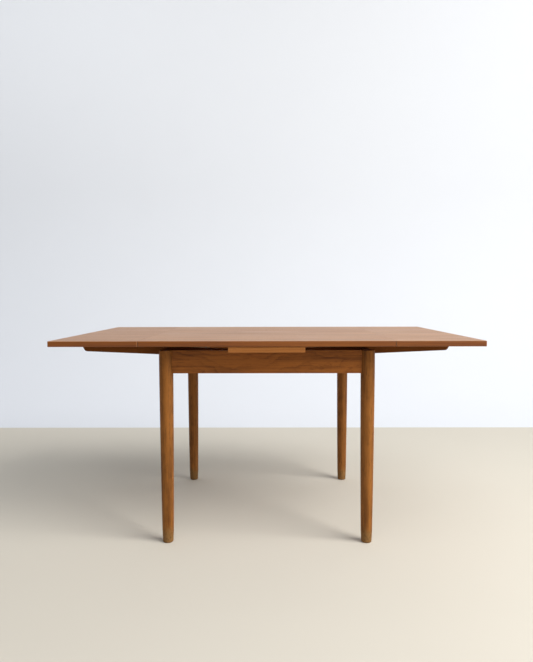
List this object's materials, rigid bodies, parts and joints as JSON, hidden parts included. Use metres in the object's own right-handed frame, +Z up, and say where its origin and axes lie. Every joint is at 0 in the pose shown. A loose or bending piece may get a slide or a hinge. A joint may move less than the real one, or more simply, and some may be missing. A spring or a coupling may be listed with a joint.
{
  "type": "draw-leaf dining table",
  "caption": "Square wooden dining table on round tapered legs, with a pull-out leaf on sliding bearers at each end, shown extended.",
  "frame": {"origin": "on the floor, under the middle of the table", "axes": "+X along the table towards the right leaf, +Y from the front apron to the rear apron, +Z up"},
  "size_m": [1.454, 0.9, 0.72],
  "materials": {
    "top_wood": "satin oiled, straight grain",
    "leg_wood": "satin oiled, turned",
    "frame_wood": "satin oiled, straight grain",
    "inner_wood": "sawn and planed, unfinished",
    "dowel_wood": "turned beech, unfinished",
    "screw_steel": "plain, a little dulled"
  },
  "bodies": {
    "frame": {"leg_front_left": "leg_wood", "leg_front_right": "leg_wood", "leg_rear_left": "leg_wood", "leg_rear_right": "leg_wood", "apron_front": "frame_wood", "apron_rear": "frame_wood", "end_apron_left": "frame_wood", "end_apron_right": "frame_wood", "centre_rail": "inner_wood", "centre_board": "frame_wood", "centre_board_screws": "screw_steel", "corner_block_front_left": "inner_wood", "corner_block_front_right": "inner_wood", "corner_block_rear_left": "inner_wood", "corner_block_rear_right": "inner_wood", "corner_block_screws": "screw_steel"},
    "top": {"top_panel": "top_wood", "guide_peg_left": "dowel_wood", "guide_peg_right": "dowel_wood"},
    "left_leaf": {"left_leaf_panel": "top_wood", "left_bearer_front": "frame_wood", "left_bearer_rear": "frame_wood", "left_bearer_screws": "screw_steel", "left_stop_pegs": "dowel_wood"},
    "right_leaf": {"right_leaf_panel": "top_wood", "right_bearer_front": "frame_wood", "right_bearer_rear": "frame_wood", "right_bearer_screws": "screw_steel", "right_stop_pegs": "dowel_wood"}
  },
  "joints": [
    {"name": "top_lift", "type": "slide", "parent": "frame", "child": "top", "axis": [0, 0, 1], "range_m": [0, 0.25]},
    {"name": "left_leaf_slide", "type": "slide", "parent": "frame", "child": "left_leaf", "axis": [0.9991, 0, -0.043], "range_m": [0, 0.29838]},
    {"name": "right_leaf_slide", "type": "slide", "parent": "frame", "child": "right_leaf", "axis": [-0.9991, 0, -0.043], "range_m": [0, 0.29838]}
  ],
  "couplings": [
    {"joint": "left_leaf_slide", "follows": "top_lift", "ratio": 1.1931},
    {"joint": "right_leaf_slide", "follows": "top_lift", "ratio": 1.1931}
  ]
}
